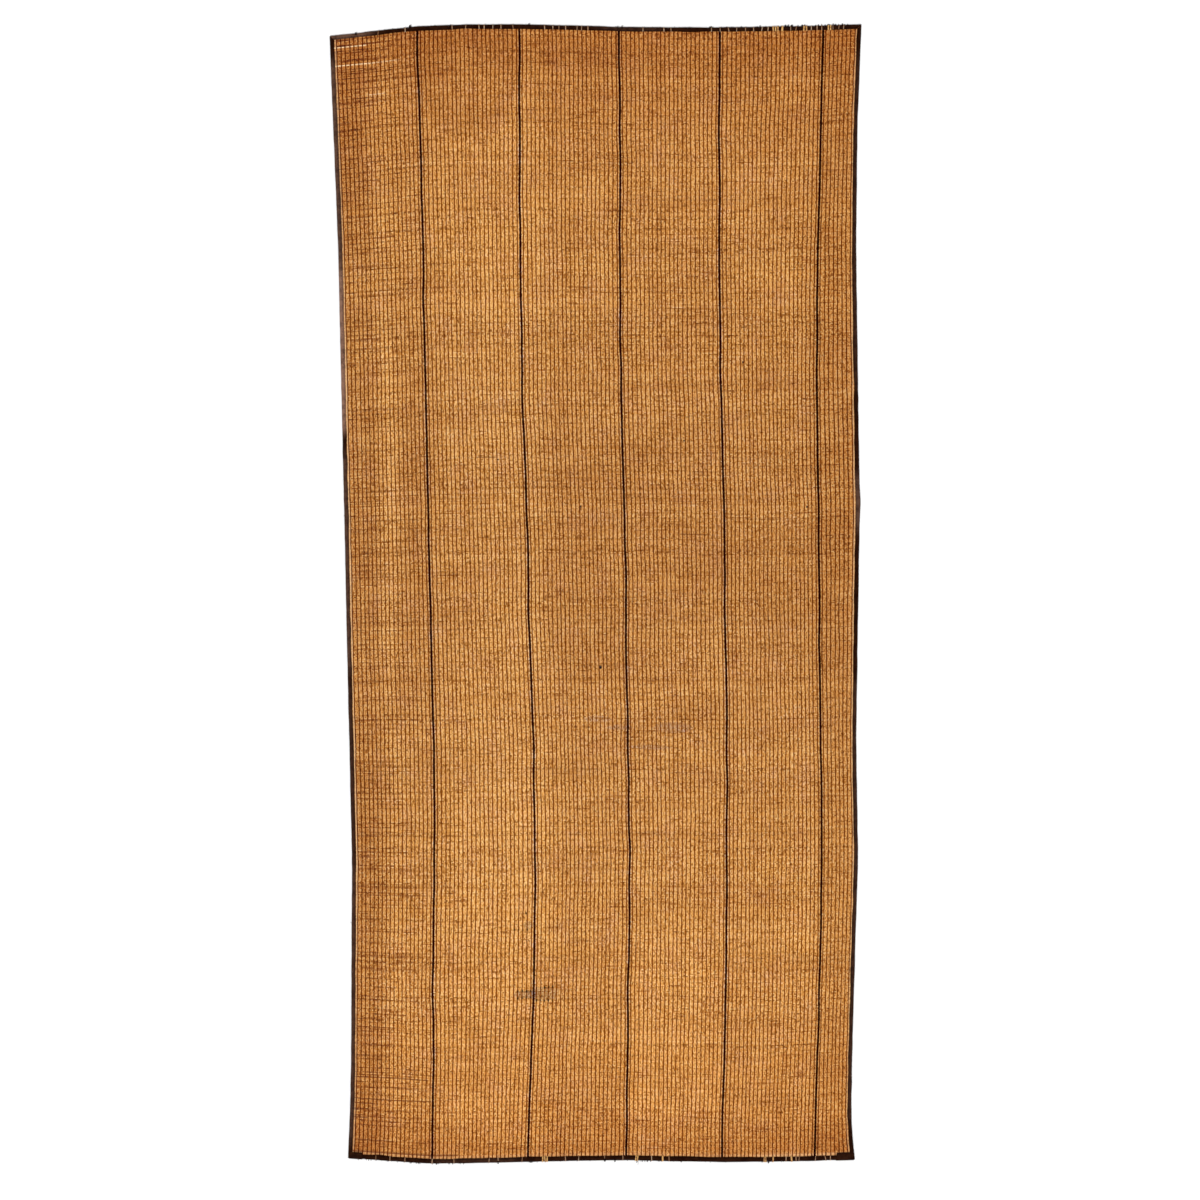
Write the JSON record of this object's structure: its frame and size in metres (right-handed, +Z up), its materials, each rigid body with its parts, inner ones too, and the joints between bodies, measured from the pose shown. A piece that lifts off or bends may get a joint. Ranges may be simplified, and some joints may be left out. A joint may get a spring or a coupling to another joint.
{
  "type": "reed and leather floor mat",
  "caption": "Long flat floor mat of fine reeds woven together by leather thongs, with darker lengthwise thongs and a folded leather binding round its edge.",
  "frame": {"origin": "middle of the underside, on the surface that the mat lies on", "axes": "+X across the mat, +Y along it towards its top end, +Z up"},
  "size_m": [1.702, 3.646, 0.0063],
  "materials": {
    "reeds": "dry split reeds, honey brown, with brown leather thongs",
    "brown_thongs": "narrow worn leather thongs",
    "dark_thongs": "black leather thongs, slightly shiny",
    "binding": "dark brown leather, rubbed grey in places",
    "lacing": "pale rawhide strip"
  },
  "bodies": {
    "root": {"field": "reeds", "dark_thong_1": "dark_thongs", "dark_thong_2": "dark_thongs", "dark_thong_3": "dark_thongs", "dark_thong_4": "dark_thongs", "dark_thong_5": "dark_thongs", "binding_left": "binding", "binding_right": "binding", "binding_top": "binding", "binding_bottom": "binding", "lacing_top_1": "lacing", "lacing_top_2": "lacing", "lacing_top_3": "lacing", "lacing_top_4": "lacing", "lacing_bottom_1": "lacing", "lacing_bottom_2": "lacing", "lacing_bottom_3": "lacing", "lacing_bottom_4": "lacing", "lacing_bottom_5": "lacing", "lacing_bottom_6": "lacing", "corner_patch": "binding"}
  },
  "joints": []
}
